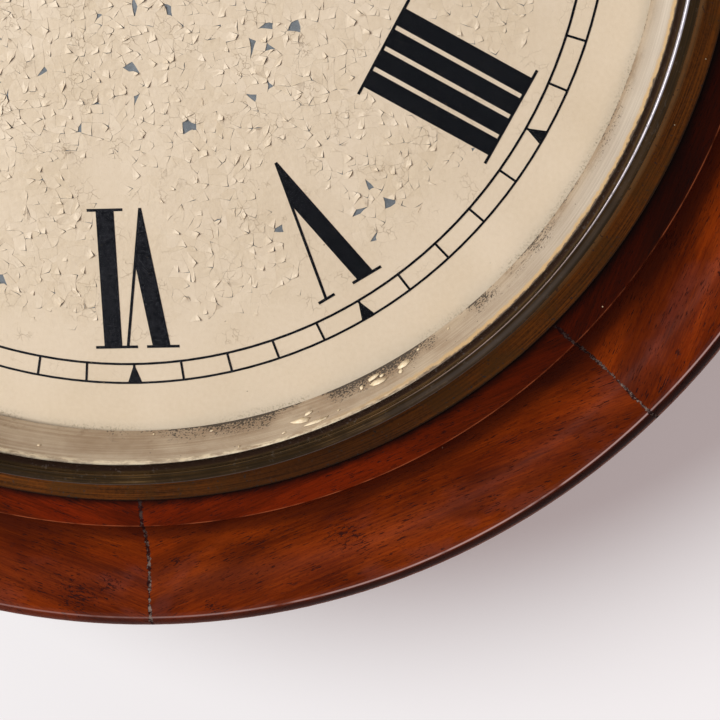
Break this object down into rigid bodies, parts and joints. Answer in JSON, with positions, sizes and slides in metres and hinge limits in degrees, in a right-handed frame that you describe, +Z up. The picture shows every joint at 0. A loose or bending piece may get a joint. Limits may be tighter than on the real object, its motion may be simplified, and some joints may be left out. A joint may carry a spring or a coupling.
{
  "type": "slave clock",
  "caption": "Round wall slave clock: segmented mahogany surround, brass bezel, crackled Roman dial, square case behind with the electric movement",
  "frame": {"origin": "on the wall plane, on the axis of the dial", "axes": "+Z up, the dial faces -Y, +X to the right seen from the front"},
  "size_m": [0.4212, 0.1037, 0.4212],
  "materials": {
    "mahogany": "varnished, worn",
    "pine": "unfinished, aged",
    "steel": "turned",
    "zinc": "oxidised",
    "cream_paint": "crackled",
    "black_print": "flat",
    "brass": "aged",
    "tarnished_brass": "dark tarnish, worn bright at the edges",
    "silvered_brass": "silvered, brushed",
    "glass": "clear",
    "soft_iron": "smooth",
    "moulding": "satin",
    "winding": "silk-covered wire, waxed",
    "blued_steel": "blued"
  },
  "bodies": {
    "case": {"surround_segment_1": "mahogany", "surround_segment_2": "mahogany", "surround_segment_3": "mahogany", "surround_segment_4": "mahogany", "surround_segment_5": "mahogany", "surround_segment_6": "mahogany", "surround_segment_7": "mahogany", "surround_segment_8": "mahogany", "backing_ring": "pine", "segment_screws": "steel", "dial_plate": "zinc", "dial_paint": "cream_paint", "dial_printing": "black_print", "brass_screws": "brass", "movement_bar": "steel", "bar_screws": "steel", "front_plate": "brass", "rear_plate": "brass", "movement_pillars": "brass", "plate_studs": "steel", "magnet_yoke": "soft_iron", "magnet_cores": "soft_iron", "coil_bobbins": "moulding", "coil_windings": "winding", "armature_spring": "steel", "terminal_block": "moulding", "terminal_posts": "brass", "terminal_nuts": "brass", "coil_leads": "winding", "back_board": "pine", "box_left_side": "pine", "box_right_side": "pine", "box_top": "pine", "box_bottom": "pine", "case_screws": "steel", "hanging_plate": "brass", "wire_bush": "moulding", "hinge_fixed_leaf": "tarnished_brass", "hinge_pin": "steel", "catch_screws": "brass", "door_pivots": "steel"},
    "bezel": {"bezel_ring": "tarnished_brass", "glass": "glass", "sight_ring": "silvered_brass", "glass_clips": "brass", "hinge_moving_leaf": "tarnished_brass"},
    "minute_train": {"centre_arbor": "steel", "ratchet_wheel": "brass", "cannon_pinion": "steel", "minute_hand": "blued_steel", "hand_nut": "brass"},
    "hour_train": {"hour_wheel": "brass", "hour_hand": "blued_steel"},
    "minute_wheel_body": {"minute_wheel": "brass"},
    "armature_body": {"armature": "soft_iron"},
    "pawl_body": {"drive_pawl": "steel"},
    "click_body": {"stop_click": "steel"},
    "door_body": {"case_door": "pine"},
    "door_catch_body": {"door_catch": "brass"},
    "bezel_catch_body": {"bezel_catch": "brass"}
  },
  "joints": [
    {"name": "minute_turn", "type": "hinge", "parent": "case", "child": "minute_train", "pos_m": [0, -0.06, 0], "axis": [0, 1, 0], "continuous": true},
    {"name": "hour_turn", "type": "hinge", "parent": "case", "child": "hour_train", "pos_m": [0, -0.068, 0], "axis": [0, 1, 0], "continuous": true},
    {"name": "minute_wheel_turn", "type": "hinge", "parent": "case", "child": "minute_wheel_body", "pos_m": [0.01311, -0.0637, 0.00918], "axis": [0, 1, 0], "continuous": true},
    {"name": "armature_rock", "type": "hinge", "parent": "case", "child": "armature_body", "pos_m": [0.04, -0.042, -0.043], "axis": [0, -1, 0], "range_deg": [0, 2], "stiffness_Nm_per_rad": 0.3, "springref_deg": -8.59},
    {"name": "pawl_swing", "type": "hinge", "parent": "armature_body", "child": "pawl_body", "pos_m": [-0.04, -0.0448, -0.0425], "axis": [0, -1, 0], "range_deg": [0, 8], "stiffness_Nm_per_rad": 0.01, "springref_deg": -5.73},
    {"name": "click_swing", "type": "hinge", "parent": "case", "child": "click_body", "pos_m": [0.037, -0.0448, 0.033], "axis": [0, -1, 0], "range_deg": [0, 8], "stiffness_Nm_per_rad": 0.01, "springref_deg": -5.73},
    {"name": "bezel_hinge", "type": "hinge", "parent": "case", "child": "bezel", "pos_m": [-0.1713, -0.0924, 0], "axis": [0, 0, -1], "range_deg": [0, 110]},
    {"name": "bezel_catch_turn", "type": "hinge", "parent": "case", "child": "bezel_catch_body", "pos_m": [0.17165, -0.0925, 0.01804], "axis": [0, 1, 0], "range_deg": [0, 90]},
    {"name": "door_hinge", "type": "hinge", "parent": "case", "child": "door_body", "pos_m": [0, -0.0223, -0.1393], "axis": [1, 0, 0], "range_deg": [0, 95]},
    {"name": "door_catch_turn", "type": "hinge", "parent": "case", "child": "door_catch_body", "pos_m": [0, -0.068, -0.1432], "axis": [0, 0, 1], "range_deg": [0, 90]}
  ],
  "couplings": [
    {"joint": "hour_turn", "follows": "minute_turn", "ratio": 0.083333},
    {"joint": "minute_wheel_turn", "follows": "minute_turn", "ratio": -0.33333}
  ]
}
